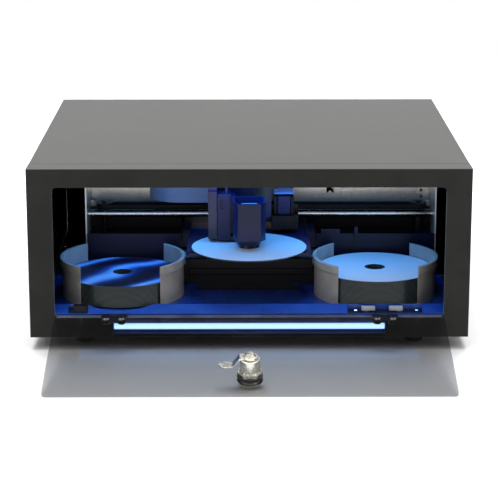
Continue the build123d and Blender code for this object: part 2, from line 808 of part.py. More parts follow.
# Printer frame
def lower_panel():
    y0, y1 = frame_front - 1.5, frame_front
    panel = block(frame_left, frame_right, y0, y1, base_top, panel_top)
    panel -= block(-drive_width / 2 - 2, drive_width / 2 + 2, y0 - 1, y1 + 1, base_top - 1, deck_top - 8)
    panel -= block(-tray_width / 2 - 7, tray_width / 2 + 7, y0 - 1, y1 + 1, deck_top - 1.5, panel_top + 1)
    panel += block(77, 97.5, y0, y1, panel_top, panel_top + 5)
    guide = carriage_front - 2.1
    panel += block(112, 116, guide, y1, panel_top - 2.6, panel_top - 1.1)
    panel += block(112, 116, guide, guide + 1.5, panel_top - 2.6, panel_top + 8.4)
    return panel


def frame_deck():
    deck = block(frame_left, frame_right, frame_front, frame_rear, deck_top - 1.5, deck_top)
    hole = roller_half + 5
    deck -= block(-hole, hole, roller_y - 7, roller_y + 7, deck_top - 3, deck_top + 1)
    return deck - rod_up(motor_x, pulley_y, deck_top - 3, deck_top + 1, 8)


def side_plate(x0, x1):
    plate = block(x0, x1, frame_front, frame_rear, base_top, frame_top)
    plate -= rod_x(x0 - 1, x1 + 1, rod_y, rod_z, rod_radius + 0.05)
    return plate


def side_plate_left():
    return side_plate(frame_left - frame_sheet, frame_left)


def side_plate_right():
    return side_plate(frame_right, frame_right + frame_sheet)


def back_plate():
    y0, y1 = back_plate_y, back_plate_y + frame_sheet
    plate = block(frame_left, frame_right, y0, y1, plate_bottom, frame_top)
    for side, x in ((-1, frame_left), (1, frame_right)):
        x0, x1 = sorted((x, x - side * 14))
        plate += block(x0, x1, y0, y1, deck_top, plate_bottom)
    notch = Polyline((86, 116), (94, 116), (94, 109), (90, 112.5), (86, 109), close=True)
    plate -= extrude(Plane((0, y1 + 1, 0), x_dir=(1, 0, 0), z_dir=(0, -1, 0)) * make_face(notch), 4)
    for x, z in ((103, 110), (112, 110), (190, 113), (190, 106)):
        plate -= rod_y_axis(x, y0 - 1, y1 + 1, z, 1.6)
    for x, w in ((107.5, 10.5), (182, 13.5)):
        tab = block(x - w / 2, x + w / 2, y0 - 3, y0, 100, 116)
        tab = fillet(tab.edges().filter_by(Axis.Y).group_by(Axis.Z)[-1], w / 2 - 1.2)
        plate += tab - rod_y_axis(x, y0 - 4, y0 - 1, 110, 2.4)
        plate += rod_y_axis(x, y0 - 2.6, y0, 110, 1.8)
    return plate


def carriage_shroud():
    """A moulded wall behind the belt, with a rib that the eye takes for a thin rail."""
    y1 = shroud_y + shroud_thickness
    wall = block(frame_left, frame_right, shroud_y, y1, deck_top, shroud_top)
    wall += block(frame_left, frame_right, shroud_y - 0.8, shroud_y, 86.4, 87.4)
    for x in (-120, 90, 140):
        wall += block(x - 1, x + 1, y1, y1 + 6, deck_top, shroud_top - 4)
    half = tray_width / 2 + rail_width
    return wall - block(-half, half, shroud_y - 2, y1 + 1, deck_top - 1, tray_disc_bottom + 4.2)


def guide_rod():
    return rod_x(frame_left - frame_sheet - 1, frame_right + frame_sheet + 1, rod_y, rod_z, rod_radius)


def encoder_strip():
    z = belt_z - 7
    strip = block(frame_left + 4, frame_right - 4, 209, 209.5, z, z + 7)
    for x in (frame_left, frame_right - 4.2):
        strip += block(x, x + 4.2, 207, 211.5, z - 2, z + 9)
    return strip


def belt_track(radius):
    z0, z1 = belt_z - belt_width / 2, belt_z + belt_width / 2
    shape = block(motor_x, idler_x, pulley_y - radius, pulley_y + radius, z0, z1)
    shape += rod_up(motor_x, pulley_y, z0, z1, radius)
    return shape + rod_up(idler_x, pulley_y, z0, z1, radius)


def belt_loop():
    inner = pulley_radius + belt_gap
    return belt_track(inner + belt_thickness) - belt_track(inner)


def pulley(x):
    z0, z1 = belt_z - belt_width / 2 - 0.4, belt_z + belt_width / 2 + 0.4
    wheel = rod_up(x, pulley_y, z0, z1, pulley_radius)
    wheel += rod_up(x, pulley_y, z0 - 1.2, z0, pulley_radius + 2)
    wheel += rod_up(x, pulley_y, z1, z1 + 1.2, pulley_radius + 2)
    return wheel - rod_up(x, pulley_y, z0 - 2, z1 + 3, pulley_shaft_radius + pin_clearance)


def belt_motor():
    top = deck_top - 1.5
    body = rod_up(motor_x + 3, pulley_y, top - motor_height, top, motor_radius)
    body -= block(motor_x - 40, frame_left + 0.3, 0, 400, 0, 300)
    return body + rod_up(motor_x, pulley_y, top, belt_z + 6, pulley_shaft_radius)


def idler_post():
    post = rod_up(idler_x, pulley_y, deck_top, belt_z - 6, 5)
    return post + rod_up(idler_x, pulley_y, belt_z - 6, belt_z + 6, pulley_shaft_radius)


# Picker on its bracket, and the print carriage beside it, on one guide rod
def rod_sleeve(x0, x1):
    return block(x0, x1, rod_y - 9, rod_y + 7, rod_z - 7.5, rod_z + 8.5)


def picker_bracket():
    x0, x1 = picker_left, picker_right
    inner = x0 + 9
    body = block(x0, x1, 150, 154, 100, 140)
    body += block(x0, x1, 154, rod_y - 9, 99, 105.1)
    body += rod_sleeve(x0, x1)
    body += block(x0, inner, 95, 150, 100, 140)
    body += block(x0, -13, 99, 125, arm_top, arm_top + 3)
    body += block(x0, inner, 99, 125, 140, arm_top)
    body += block(x0, -13, 99, 125, 89, 92)
    body += block(x0, inner, 99, 125, 92, 100)
    body += block(x0, x0 + 5, 154, cable_y + 2, cable_bottom - 2, 136)
    body -= rod_x(x0 - 1, x1 + 1, rod_y, rod_z, rod_radius + pin_clearance)
    for y in lift_rod_places:
        body -= rod_up(lift_rod_x, y, 80, arm_top + 5, lift_rod_radius)
    return body


def picker_board():
    """A small circuit board on the bracket's front face, to the right behind the head."""
    board = block(6, 21, 148.4, 150, 118, 138)
    return board + block(9, 15, 146.9, 148.4, 126, 132)


def lift_rods():
    return [rod_up(lift_rod_x, y, 89, arm_top + 3, lift_rod_radius) for y in lift_rod_places]


def head_outline(inset=0.0):
    left, right = head_x - head_half, head_x + head_half
    outline = Polyline(
        (left, head_front + 9), (left + head_corner, head_front), (right - head_corner, head_front),
        (right, head_front + 9), (right, head_back - 6), (right - 6, head_back), (left, head_back),
        close=True,
    )
    face = make_face(outline)
    return offset(face, -inset) if inset else face


def picker_head():
    """A cup-shaped front block on a rear block that slides on the lift rods."""
    left = head_x - head_half
    body = Pos(0, 0, head_bottom) * extrude(head_outline(), head_top - head_bottom)
    body -= Pos(0, 0, head_top - 14) * extrude(head_outline(2), 20)
    body += block(-32.4, -19, 98.5, 124, 93, 137)
    body += block(-32.4, -19, 95.8, 98.5, 88.6, 137)
    body += block(-19, left + 2, 101, 122, 95, 134)
    body += block(left, left + 6, 96, 101, 98, 134)
    body -= block(-29.5, -26.5, 95, 97.2, 122, 131)
    nose = Cone(nose_radius - 1.0, nose_radius, head_bottom - nose_bottom, align=standing)
    body += Pos(0, disc_line, nose_bottom) * nose
    for y in lift_rod_places:
        body -= rod_up(lift_rod_x, y, 80, arm_top + 5, lift_rod_radius + pin_clearance)
    return body - block(2.2, 10.8, disc_line - 2.3, disc_line + 2.3, 80, 90.6)


def gripper_fingers():
    made = []
    for turn in (120, 240):
        finger = block(3.2, 6.2, disc_line - 2, disc_line + 2, 86.6, 88.4)
        made.append(finger.rotate(Axis((0, disc_line, 0), (0, 0, 1)), turn))
    return made


def gripper_jaw():
    y0, y1 = disc_line - 2, disc_line + 2
    return block(3.0, 6.0, y0, y1, 86.6, 90.3) + block(6, 9.6, y0, y1, 88.8, 90.3)


def head_plate():
    return block(head_x - 8, head_x + 8, head_front + 12, head_front + 15, head_top - 13.9, head_top - 2)


def print_carriage():
    x0, x1 = picker_right, carriage_right
    body = block(x0, x1, carriage_front, 166, carriage_bottom, carriage_block_top) + rod_sleeve(x0, x1)
    body += block(x0 + 3, x0 + 6, 153, 182, carriage_block_top, 122)
    body += block(x1 - 8, x1 - 5, 153, 182, carriage_block_top, 122)
    body += block(x0 + 3, x1 - 5, 179, 182, carriage_block_top, 122)
    body -= rod_x(x0 - 1, x1 + 1, rod_y, rod_z, rod_radius + pin_clearance)
    return fillet(body.edges().filter_by(Axis.Z).group_by(Axis.Y)[0], 0.8)


def cartridge():
    x0, x1 = picker_right + 6.2, carriage_right - 8.2
    low = rod_z + 8.5
    body = block(x0, x1, 154, 178.8, low, cartridge_top)
    body = fillet(body.edges().filter_by(Axis.Z), 1.2)
    body += block(x0 + 1, x1 - 1, 154, 164, carriage_block_top, low)
    return body - rod_y_axis((x0 + x1) / 2, 153, 155, 112.5, 3.4)


def cartridge_latch():
    x0, x1 = picker_right + 3, carriage_right - 5
    lid = block(x0, x1, 157, latch_y, latch_z - 1, latch_z + 1)
    lid += rod_x(x0 + 4, x1 - 4, latch_y, latch_z, 2.2)
    lid -= rod_x(x0, x1, latch_y, latch_z, latch_pin_radius + pin_clearance)
    for x in (x0, x1 - 3.7):
        lid -= block(x - 0.3, x + 4, latch_y - 3.2, latch_y + 3, latch_z - 4, latch_z + 4)
    return lid


def latch_pin():
    x0, x1 = picker_right + 3, carriage_right - 5
    pin = rod_x(x0, x1, latch_y, latch_z, latch_pin_radius)
    for x in (x0, x1 - 3):
        pin += block(x, x + 3, latch_y - 1.5, latch_y + 1.5, 122, latch_z + 1.2)
    return pin


def belt_clamp():
    y1 = pulley_y - pulley_radius - belt_gap - belt_thickness
    return block(0, 14, rod_y + 7, y1 - 0.3, belt_z - 3, belt_z + 3)


def cable_band(radius):
    far = back_plate_y - 0.5
    mid = (cable_y + far) / 2
    x_loop = picker_left - cable_run
    z0, z1 = cable_bottom, cable_bottom + cable_width
    band = block(x_loop, picker_left, mid - radius, mid + radius, z0, z1)
    return band + rod_up(x_loop, mid, z0, z1, radius)


def ribbon_cable():
    """Flat cable on edge: from the bracket to the left, round a loop and back along the back plate."""
    radius = (back_plate_y - 0.5 - cable_y) / 2
    half = cable_thickness / 2
    loop = cable_band(radius + half) - cable_band(radius - half)
    return loop - block(picker_left - 0.2, picker_left + 9, 0, 300, 0, 200)


def drive_case():
    half = drive_width / 2
    box = block(-half, half, bezel_back, bezel_back + drive_depth, drive_bottom, drive_top)
    rear = bezel_back + drive_depth
    return box - block(-half + 1, half - 1, bezel_back - 1, rear - 1, drive_bottom + 1, drive_top - 1)


def drive_bezel():
    half = drive_width / 2 + 1
    bezel = block(-half, half, drive_bezel_y, bezel_back, drive_bottom - 0.4, drive_top + 0.4)
    bezel = fillet(bezel.edges().group_by(Axis.Y)[0], 0.8)
    g = tray_slot_gap
    bezel -= block(
        -drive_tray_width / 2 - g, drive_tray_width / 2 + g, drive_bezel_y - 1, bezel_back + 1,
        drive_tray_z - g, drive_tray_z + drive_tray_height + g,
    )
    ew, eh = eject_width / 2 + 0.3, eject_height / 2 + 0.3
    bezel -= block(eject_x - ew, eject_x + ew, drive_bezel_y - 1, bezel_back + 1, eject_z - eh, eject_z + eh)
    for i in range(4):
        bezel -= block(-30 + 12 * i, -23 + 12 * i, drive_bezel_y - 1, drive_bezel_y + 0.8, 36.6, 37.6)
    return bezel


def drive_feet():
    made = []
    for side in (-1, 1):
        x0, x1 = sorted((side * 60, side * 72))
        made.append(block(x0, x1, bezel_back + 5, bezel_back + drive_depth - 5, base_top, drive_bottom))
    return made


def drive_tray():
    half = drive_tray_width / 2
    z0, z1 = drive_tray_z, drive_tray_z + drive_tray_height
    tray = block(-half, half, drive_bezel_y - 0.6, bezel_back + drive_tray_length, z0, z1)
    y = drive_bezel_y + 68
    tray -= rod_up(0, y, z1 - 2.4, z1 + 1, disc_radius + 1)
    tray -= block(-16, 16, y - 22, y + 70, z0 - 1, z1 + 1)
    return tray


def drive_rails():
    half = drive_tray_width / 2
    made = []
    for side in (-1, 1):
        x0, x1 = sorted((side * (half + 0.3), side * (drive_width / 2 - 1)))
        y0, y1 = bezel_back + 1, bezel_back + drive_depth - 3
        wall = block(x0, x1, y0, y1, drive_tray_z - 4, drive_tray_z + 9)
        x2, x3 = sorted((side * (half - 4), side * (half + 0.3)))
        lip = block(x2, x3, y0, y1, drive_tray_z - 4, drive_tray_z - 0.3)
        made.append(wall + lip)
    return made


def eject_button():
    w, h = eject_width / 2, eject_height / 2
    return block(eject_x - w, eject_x + w, drive_bezel_y - 0.8, bezel_back - 1, eject_z - h, eject_z + h)


def build_all():
    save("front_fascia", front_fascia())
    save("top_cover", top_cover())
    save("base_chassis", base_chassis())
    save("cover_screws", *cover_screws())
    save("feet", *feet())
    save("rear_panel", rear_panel())
    save("fan_housing", fan_housing())
    save("fan_rotor", fan_rotor())
    save("fan_guard", fan_guard())
    save("power_inlet", power_inlet())
    save("rocker_housing", rocker_housing())
    save("rocker_button", rocker_button())
    save("power_supply", power_supply())
    save("main_board", main_board(), data_socket())
    save("inner_floor", inner_floor())
    save("control_strip", control_strip(), *indicator_lenses())
    left_button, right_button = button_places
    save("left_button", function_button(*left_button))
    save("right_button", function_button(*right_button))
    save("button_board", button_board())
    save("door_sensor", door_sensor())
    save("light_channel", light_channel())
    save("light_tube", light_tube())
    save("upper_light", upper_light())
    save("upper_light_holder", upper_light_holder())
    save("door_panel", door_panel())
    save("hinge_leaves", *[hinge_leaf_piece(x) for x in hinge_places()])
    half = hinge_screw_spacing / 2
    save("hinge_screws", *[hinge_screw(x + dx) for x in hinge_places() for dx in (-half, half)])
    brackets = [bored_bracket(x) for x in hinge_places()]
    save("hinge_brackets", *brackets, *[hinge_pin(x) for x in hinge_places()])
    save("lock_barrel", lock_barrel())
    save("lock_gasket", lock_gasket())
    save("lock_nut", lock_nut())
    save("lock_cam", lock_cam(), cam_screw())
    save("left_bin", disc_bin(-bin_x))
    save("right_bin", disc_bin(bin_x))
    save("left_disc_stack", disc_stack(-bin_x, left_discs))
    save("right_disc_stack", disc_stack(bin_x, right_discs))
    save("print_tray", print_tray())
    save("tray_disc", disc(0, tray_disc_bottom))
    save("tray_rails", tray_rail(-1), tray_rail(1))
    save("tray_roller", tray_roller())
    save("lower_panel", lower_panel())
    save("frame_deck", frame_deck())
    save("frame_side_plates", side_plate_left(), side_plate_right())
    save("frame_back_plate", back_plate(), encoder_strip())
    save("carriage_shroud", carriage_shroud())
    save("guide_rod", guide_rod())
    save("carriage_belt", belt_loop())
    save("drive_pulley", pulley(motor_x))
    save("belt_motor", belt_motor(), idler_post(), tray_roller_shaft())
    save("idler_pulley", pulley(idler_x))
    save("picker_bracket", picker_bracket(), picker_board(), *lift_rods())
    save("picker_head", picker_head(), head_plate(), *gripper_fingers())
    save("gripper_jaw", gripper_jaw())
    save("print_carriage", print_carriage(), latch_pin(), belt_clamp())
    save("cartridge", cartridge())
    save("cartridge_latch", cartridge_latch())
    save("ribbon_cable", ribbon_cable())
    save("optical_drive", drive_case(), drive_bezel(), *drive_feet(), *drive_rails())
    save("drive_tray", drive_tray())
    save("eject_button", eject_button())


build_all()
print("front", front_y, "door slope", door_slope, "lock height", lock_z)
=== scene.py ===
import json
import math

import bpy
from bpy.props import FloatProperty, IntProperty, PointerProperty, StringProperty
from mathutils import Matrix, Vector

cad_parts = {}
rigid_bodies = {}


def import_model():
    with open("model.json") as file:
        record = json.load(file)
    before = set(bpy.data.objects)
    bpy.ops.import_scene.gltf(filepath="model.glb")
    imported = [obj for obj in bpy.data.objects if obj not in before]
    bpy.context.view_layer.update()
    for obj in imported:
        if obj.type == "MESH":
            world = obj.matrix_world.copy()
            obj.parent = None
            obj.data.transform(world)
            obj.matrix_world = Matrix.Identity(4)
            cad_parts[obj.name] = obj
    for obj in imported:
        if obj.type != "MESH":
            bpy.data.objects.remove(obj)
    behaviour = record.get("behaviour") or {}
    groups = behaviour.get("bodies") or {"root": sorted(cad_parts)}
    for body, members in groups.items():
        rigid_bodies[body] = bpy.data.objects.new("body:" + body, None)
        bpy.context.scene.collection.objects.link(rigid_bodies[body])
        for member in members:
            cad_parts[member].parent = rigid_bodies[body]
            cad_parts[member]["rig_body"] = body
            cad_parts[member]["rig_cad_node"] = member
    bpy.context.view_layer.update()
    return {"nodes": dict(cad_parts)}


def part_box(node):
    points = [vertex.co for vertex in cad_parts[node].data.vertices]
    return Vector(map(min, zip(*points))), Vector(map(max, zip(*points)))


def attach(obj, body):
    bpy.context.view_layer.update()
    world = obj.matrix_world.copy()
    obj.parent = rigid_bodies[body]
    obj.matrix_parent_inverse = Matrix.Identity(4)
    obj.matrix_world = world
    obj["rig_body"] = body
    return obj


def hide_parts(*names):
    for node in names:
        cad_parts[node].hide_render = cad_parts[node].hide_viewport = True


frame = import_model()

bl_info = {
    "name": "Disc label printer",
    "version": (1, 0, 0),
    "blender": (4, 5, 0),
    "location": "View3D > Sidebar > Disc Printer",
    "description": "Models and finishes a disc label printer on its packed frame",
    "category": "Object",
}

MM = 0.001
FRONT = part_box("front_fascia")[0].y

# A face counts as looking along an axis when its normal's share of that axis is above this.
FACING = 0.7
# Edges flatter than the first angle are shaded smooth, and sharper than the second are eased.
SMOOTH_ANGLE = math.radians(32)
SHARP_ANGLE = math.radians(38)
# The CAD's triangles are merged back to one face where they lie flat within this.
FLAT_ANGLE = math.radians(0.5)
# Points closer than these, in metres, are one point: in a CAD mesh, and in a turned one.
CAD_WELD = 1e-6
TURNED_WELD = 1e-7
# The plane that a turned piece's first point is merged from.
SEED_SIZE = 1e-4
# A weighted normal at 100 follows the large faces only.
LARGE_FACES_ONLY = 100


# Small tools


def linear(hex_colour):
    """An sRGB hex colour as linear red, green, blue and alpha."""
    parts = [int(hex_colour[i:i + 2], 16) / 255 for i in (1, 3, 5)]
    return [c / 12.92 if c <= 0.04045 else ((c + 0.055) / 1.055) ** 2.4 for c in parts] + [1.0]


def add(tree, kind, values=None, links=None, **settings):
    """Adds a node with its settings, socket values and incoming links."""
    node = tree.nodes.new(kind)
    for name, value in settings.items():
        setattr(node, name, value)
    for name, value in (values or {}).items():
        node.inputs[name].default_value = value
    for name, socket in (links or {}).items():
        tree.links.new(socket, node.inputs[name])
    return node


def deselect():
    bpy.ops.object.select_all(action="DESELECT")


def make_active(piece):
    deselect()
    piece.select_set(True)
    bpy.context.view_layer.objects.active = piece


def body_holding(node):
    return frame["nodes"][node]["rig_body"]


def finish(piece, body, material, stands_for=()):
    """Puts a new piece's place in its mesh, and gives it its body and finish; hides the nodes it stands
    for.
    """
    make_active(piece)
    bpy.ops.object.transform_apply(location=True, rotation=True, scale=True)
    bpy.ops.object.shade_smooth_by_angle(angle=SMOOTH_ANGLE)
    weighted = piece.modifiers.new("flat_faces_stay_flat", "WEIGHTED_NORMAL")
    weighted.keep_sharp = True
    weighted.weight = LARGE_FACES_ONLY
    bpy.ops.object.modifier_apply(modifier="flat_faces_stay_flat")
    piece.data.materials.clear()
    piece.data.materials.append(material)
    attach(piece, body)
    if stands_for:
        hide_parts(*stands_for)
    return piece


def eased_copy(node, material, edge=0.3, segments=2, name=None):
    """A copy of a CAD node with its sharp edges eased, as a press, mould or file leaves them."""
    make_active(frame["nodes"][node])
    bpy.ops.object.duplicate()
    piece = bpy.context.active_object
    piece.name = name or node + "_shaped"
    del piece["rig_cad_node"]
    body = piece["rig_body"]
    bpy.ops.object.mode_set(mode="EDIT")
    bpy.ops.mesh.select_all(action="SELECT")
    bpy.ops.mesh.remove_doubles(threshold=CAD_WELD)
    bpy.ops.mesh.dissolve_limited(angle_limit=FLAT_ANGLE)
    bpy.ops.object.mode_set(mode="OBJECT")
    bevel = piece.modifiers.new("eased", "BEVEL")
    bevel.width = edge * MM
    bevel.segments = segments
    bevel.limit_method = "ANGLE"
    bevel.angle_limit = SHARP_ANGLE
    bevel.harden_normals = True
    bpy.ops.object.modifier_apply(modifier="eased")
    return finish(piece, body, material, [node])


def paint(piece, material, chosen):
    """Gives a second material to the faces whose centre and normal the test chooses."""
    piece.data.materials.append(material)
    index = len(piece.data.materials) - 1
    for face in piece.data.polygons:
        if chosen(face.center, face.normal):
            face.material_index = index


def coat_node(node, material):
    """A CAD node whose shape stays gets its finish."""
    shown = frame["nodes"][node]
    shown.data.materials.clear()
    shown.data.materials.append(material)
    return shown


def turned(name, profile, centre, steps=96):
    """A turned solid: a closed profile of (radius, height) points spun about an upright axis."""
    deselect()
    bpy.ops.mesh.primitive_plane_add(size=SEED_SIZE, location=(0, 0, 0))
    piece = bpy.context.active_object
    piece.name = name
    bpy.ops.object.mode_set(mode="EDIT")
    bpy.ops.mesh.select_all(action="SELECT")
    bpy.ops.mesh.merge(type="CENTER")
    bpy.ops.transform.translate(value=(profile[0][0], 0, profile[0][1]))
    for (r0, z0), (r1, z1) in zip(profile, profile[1:] + profile[:1]):
        step = (r1 - r0, 0, z1 - z0)
        bpy.ops.mesh.extrude_region_move(TRANSFORM_OT_translate={"value": step})
    bpy.ops.mesh.select_all(action="SELECT")
    bpy.ops.mesh.remove_doubles(threshold=TURNED_WELD)
    bpy.ops.mesh.select_all(action="SELECT")
    bpy.ops.mesh.spin(steps=steps, angle=2 * math.pi, center=(0, 0, 0), axis=(0, 0, 1))
    bpy.ops.mesh.select_all(action="SELECT")
    bpy.ops.mesh.remove_doubles(threshold=TURNED_WELD)
    bpy.ops.mesh.normals_make_consistent(inside=False)
    bpy.ops.object.mode_set(mode="OBJECT")
    piece.location = centre
    return piece


def copy_of(piece, name, shift):
    """A copy with its own mesh, moved by shift."""
    make_active(piece)
    bpy.ops.object.duplicate()
    other = bpy.context.active_object
    other.name = name
    other.location = Vector(other.location) + Vector(shift)
    return other


def joined(pieces, name):
    """The first piece with all the others' meshes in it."""
    deselect()
    for piece in pieces:
        piece.select_set(True)
    bpy.context.view_layer.objects.active = pieces[0]
    bpy.ops.object.join()
    pieces[0].name = name
    return pieces[0]


# Materials


def new_material(name):
    """An empty Principled material, with its tree, its shader and its Object coordinates."""
    material = bpy.data.materials.new(name)
    material.use_nodes = True
    tree = material.node_tree
    tree.nodes.clear()
    shader = add(tree, "ShaderNodeBsdfPrincipled")
    add(tree, "ShaderNodeOutputMaterial", links={"Surface": shader.outputs["BSDF"]})
    place = add(tree, "ShaderNodeTexCoord").outputs["Object"]
    return material, tree, shader, place


def grain(tree, place, size_mm, detail=2.0, roughness=0.5):
    """Noise whose cells are about size_mm across."""
    values = {"Scale": 1 / (size_mm * MM), "Detail": detail, "Roughness": roughness}
    return add(tree, "ShaderNodeTexNoise", values, {"Vector": place}).outputs["Fac"]


def wave_scale(pitch_mm):
    """The scale at which a wave texture's bands lie about pitch_mm apart.

    At scale 1 they lie pi / 10 apart, which is close to 1 / pi.
    """
    return 1 / (pitch_mm * MM) / math.pi


def vary(tree, shader, factor, dark, light, low=0.35, high=0.65):
    """The base colour wanders between two tones."""
    ramp = add(tree, "ShaderNodeMapRange", {"From Min": low, "From Max": high}, {"Value": factor})
    mix = add(tree, "ShaderNodeMix", {6: linear(dark), 7: linear(light)}, data_type="RGBA")
    tree.links.new(ramp.outputs["Result"], mix.inputs[0])
    tree.links.new(mix.outputs[2], shader.inputs["Base Color"])


def rough_between(tree, shader, factor, low, high):
    """The roughness wanders between two levels."""
    span = add(tree, "ShaderNodeMapRange", {"To Min": low, "To Max": high}, {"Value": factor})
    tree.links.new(span.outputs["Result"], shader.inputs["Roughness"])


def bump(tree, shader, height, strength, depth_mm):
    """Relief of a real depth, too shallow to model."""
    values = {"Strength": strength, "Distance": depth_mm * MM}
    relief = add(tree, "ShaderNodeBump", values, {"Height": height})
    tree.links.new(relief.outputs["Normal"], shader.inputs["Normal"])


def powder_coat(dark, light):
    """Polyester powder coat, sprayed and baked on sheet steel.

    It reads as charcoal with a fine orange peel that spreads the highlights, and turns pale
    where the eye meets it at a low angle, as on the cabinet's top.
    """
    material, tree, shader, place = new_material("powder_coat_charcoal")
    vary(tree, shader, grain(tree, place, 35), dark, light)
    peel = grain(tree, place, 0.9, 3.0)
    bump(tree, shader, peel, 0.35, 0.12)
    rough_between(tree, shader, grain(tree, place, 6), 0.42, 0.52)
    shader.inputs["Specular IOR Level"].default_value = 0.12
    shader.inputs["Sheen Weight"].default_value = 0.8
    shader.inputs["Sheen Roughness"].default_value = 0.35
    return material


def zinc_plate(name, dark, light):
    """Zinc-plated steel sheet, rolled along X before it was plated.

    It reads as pale metal with faint crystal patches and fine streaks along the rolling.
    """
    material, tree, shader, place = new_material(name)
    crystal_mm, streak_mm, streak_squeeze = 5, 0.5, 0.06
    crystal = add(tree, "ShaderNodeTexVoronoi", {"Scale": 1 / (crystal_mm * MM)}, {"Vector": place})
    vary(tree, shader, crystal.outputs["Color"], dark, light, 0.0, 1.0)
    stretch = add(tree, "ShaderNodeMapping", {"Scale": (streak_squeeze, 1, 1)}, {"Vector": place})
    lines = grain(tree, stretch.outputs["Vector"], streak_mm)
    bump(tree, shader, lines, 0.15, 0.05)
    rough_between(tree, shader, lines, 0.3, 0.46)
    shader.inputs["Metallic"].default_value = 0.85
    return material


def nickel_plate():
    """Nickel plate on a die-cast or turned part: a warm bright metal, dulled by handling marks."""
    material, tree, shader, place = new_material("nickel_plate")
    marks = grain(tree, place, 1.6, 4.0)
    vary(tree, shader, marks, "#b8b4a8", "#dedad0")
    rough_between(tree, shader, marks, 0.12, 0.34)
    bump(tree, shader, grain(tree, place, 0.7), 0.1, 0.04)
    shader.inputs["Metallic"].default_value = 1.0
    return material


def smoked_acrylic():
    """Cast acrylic sheet, smoke tinted: what is behind it shows dark, and both faces mirror the lamps."""
    material, tree, shader, place = new_material("smoked_acrylic")
    vary(tree, shader, grain(tree, place, 60), "#0e0d0b", "#131210")
    rough_between(tree, shader, grain(tree, place, 4, 4.0), 0.03, 0.06)
    shader.inputs["IOR"].default_value = 1.49
    shader.inputs["Alpha"].default_value = 0.34
    return material


def moulded(name, dark, light, roughness=(0.35, 0.5), texture_mm=0.5, relief=0.2, glint=0.5):
    """Injection-moulded plastic: a spark-eroded texture breaks the gloss of a nearly even colour."""
    material, tree, shader, place = new_material(name)
    vary(tree, shader, grain(tree, place, 20), dark, light)
    fine = grain(tree, place, texture_mm, 3.0)
    bump(tree, shader, fine, relief, 0.06)
    rough_between(tree, shader, fine, *roughness)
    shader.inputs["Specular IOR Level"].default_value = glint
    return material


def bin_polypropylene():
    """Moulded polypropylene in pale grey: waxy, and thin enough for light to soften in it."""
    material = moulded("polypropylene_pale_grey", "#918e88", "#a09c95", (0.28, 0.4), 0.6, 0.12)
    shader = material.node_tree.nodes["Principled BSDF"]
    shader.inputs["Subsurface Weight"].default_value = 0.25
    shader.inputs["Subsurface Radius"].default_value = (4 * MM, 4 * MM, 5 * MM)
    return material


def disc_edges():
    """A stack of polycarbonate discs seen on edge: dark, green-grey, glossy, each disc a line."""
    material, tree, shader, place = new_material("polycarbonate_disc_edge")
    disc_mm = 1.2
    layers = add(
        tree, "ShaderNodeTexWave", {"Scale": wave_scale(disc_mm), "Distortion": 0.3},
        {"Vector": place}, bands_direction="Z",
    )
    vary(tree, shader, layers.outputs["Fac"], "#080b0c", "#414c4a", 0.1, 0.9)
    rough_between(tree, shader, grain(tree, place, 2), 0.12, 0.3)
    shader.inputs["IOR"].default_value = 1.58
    return material


def printable_disc(centre, name="inkjet_disc_face"):
    """The screen-printed white ink-jet coat of a blank disc: matt, inside a clear hub and rim."""
    material, tree, shader, place = new_material(name)
    hub_end, coat_start = 10.4 * MM, 10.9 * MM
    coat_end, rim_start = 58.6 * MM, 59.0 * MM
    moved = add(
        tree, "ShaderNodeVectorMath", {1: (centre.x, centre.y, 0)}, {0: place}, operation="SUBTRACT"
    )
    flat = add(
        tree, "ShaderNodeVectorMath", {1: (1, 1, 0)}, {0: moved.outputs[0]}, operation="MULTIPLY"
    )
    radius = add(
        tree, "ShaderNodeVectorMath", links={0: flat.outputs[0]}, operation="LENGTH"
    ).outputs["Value"]
    hub = add(
        tree, "ShaderNodeMapRange", {"From Min": hub_end, "From Max": coat_start}, {"Value": radius}
    )
    rim = add(
        tree, "ShaderNodeMapRange",
        {"From Min": coat_end, "From Max": rim_start, "To Min": 1.0, "To Max": 0.0},
        {"Value": radius},
    )
    coat = add(
        tree, "ShaderNodeMath", links={0: hub.outputs[0], 1: rim.outputs[0]}, operation="MULTIPLY"
    ).outputs[0]
    mix = add(tree, "ShaderNodeMix", {6: linear("#2c3338"), 7: linear("#ccd0d4")}, data_type="RGBA")
    tree.links.new(coat, mix.inputs[0])
    tree.links.new(mix.outputs[2], shader.inputs["Base Color"])
    rough = add(tree, "ShaderNodeMapRange", {"To Min": 0.12, "To Max": 0.42}, {"Value": coat})
    tree.links.new(rough.outputs[0], shader.inputs["Roughness"])
    bump(tree, shader, grain(tree, place, 0.5), 0.08, 0.03)
    return material, tree, mix


def printed_disc(centre):
    """Ink-jet print on that coat: plain dark and mid blue bands that cross the disc at a slant."""
    material, tree, mix = printable_disc(centre, "printed_disc_face")
    slant = 0.7
    wide_bands = {"Scale": 6.5, "Distortion": 7.0, "Detail": 1.5, "Detail Scale": 1.2}
    place = next(n for n in tree.nodes if n.type == "TEX_COORD").outputs["Object"]
    turn = add(tree, "ShaderNodeMapping", {"Rotation": (0, 0, slant)}, {"Vector": place})
    bands = add(tree, "ShaderNodeTexWave", wide_bands, {"Vector": turn.outputs[0]})
    print_mix = add(tree, "ShaderNodeValToRGB", links={"Fac": bands.outputs["Fac"]})
    ramp = print_mix.color_ramp
    ramp.elements[0].color = linear("#050b1c")
    ramp.elements[1].color = linear("#7fb2e6")
    ramp.elements.new(0.45).color = linear("#0c2450")
    ramp.elements.new(0.75).color = linear("#1f5296")
    tree.links.new(print_mix.outputs["Color"], mix.inputs[7])
    return material


